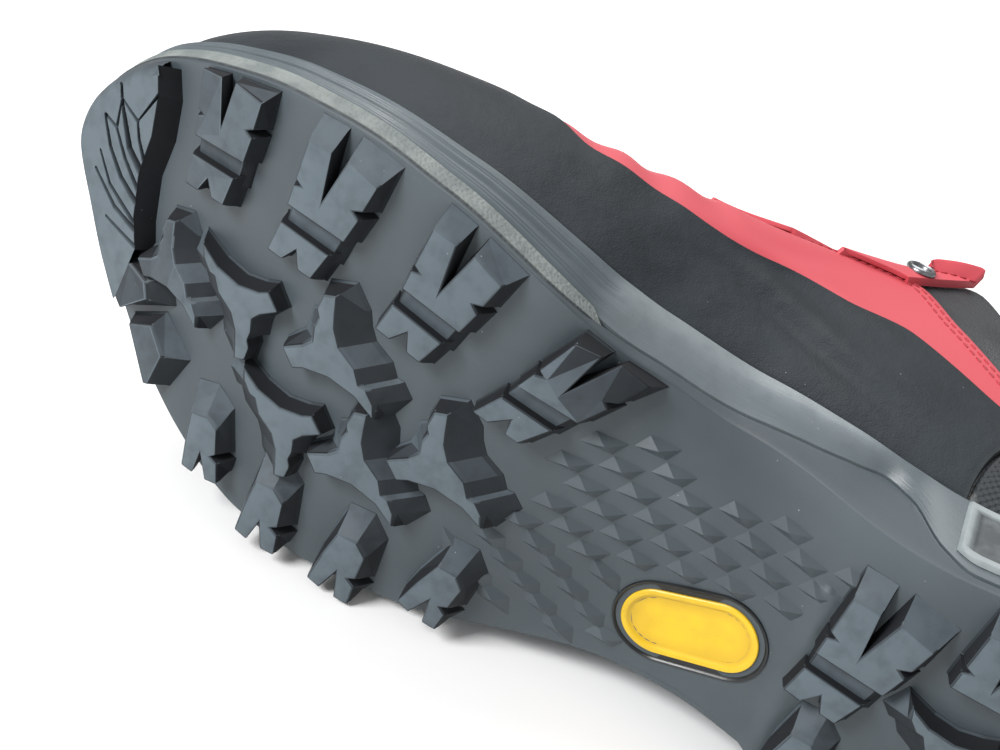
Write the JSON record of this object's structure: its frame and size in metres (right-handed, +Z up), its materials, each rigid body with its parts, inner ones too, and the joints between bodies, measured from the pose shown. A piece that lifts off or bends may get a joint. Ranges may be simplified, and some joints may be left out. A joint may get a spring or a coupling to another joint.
{
  "type": "approach shoe",
  "caption": "Right low-cut approach shoe lying on its lateral side, with a lugged rubber outsole, arched waist, foam midsole, rubber rand, suede upper and laced throat.",
  "frame": {"origin": "on the floor plane, under the centre of the bounding box of the shoe lying on its lateral side", "axes": "X is the longest extent, with the toe towards -X; -Y is the side the sole faces; +Z is up, with the medial side of the shoe on top"},
  "size_m": [0.2926, 0.1538, 0.1116],
  "materials": {
    "outsole_rubber": "satin",
    "inlay_plastic": "satin",
    "midsole_foam": "satin foam",
    "stripe_plastic": "matte, textured",
    "insole_fabric": "matte",
    "suede": "napped",
    "rand_rubber": "matte, finely textured",
    "heel_fabric": "matte, woven",
    "eyelet_metal": "satin",
    "red_knit": "knitted"
  },
  "bodies": {
    "root": {"outsole": "outsole_rubber", "waist_inlay": "inlay_plastic", "midsole": "midsole_foam", "side_stripe": "stripe_plastic", "heel_panel_medial": "stripe_plastic", "heel_panel_lateral": "stripe_plastic", "insole": "insole_fabric", "upper": "suede", "rand": "rand_rubber", "heel_band": "heel_fabric", "lace_tab_medial_1": "suede", "lace_tab_medial_2": "suede", "lace_tab_medial_3": "suede", "lace_tab_medial_4": "suede", "lace_tab_medial_5": "suede", "lace_tab_lateral_1": "suede", "lace_tab_lateral_2": "suede", "lace_tab_lateral_3": "suede", "lace_tab_lateral_4": "suede", "lace_tab_lateral_5": "suede", "eyelet_medial": "eyelet_metal", "eyelet_lateral": "eyelet_metal", "tongue": "red_knit", "lace": "red_knit"}
  },
  "joints": []
}
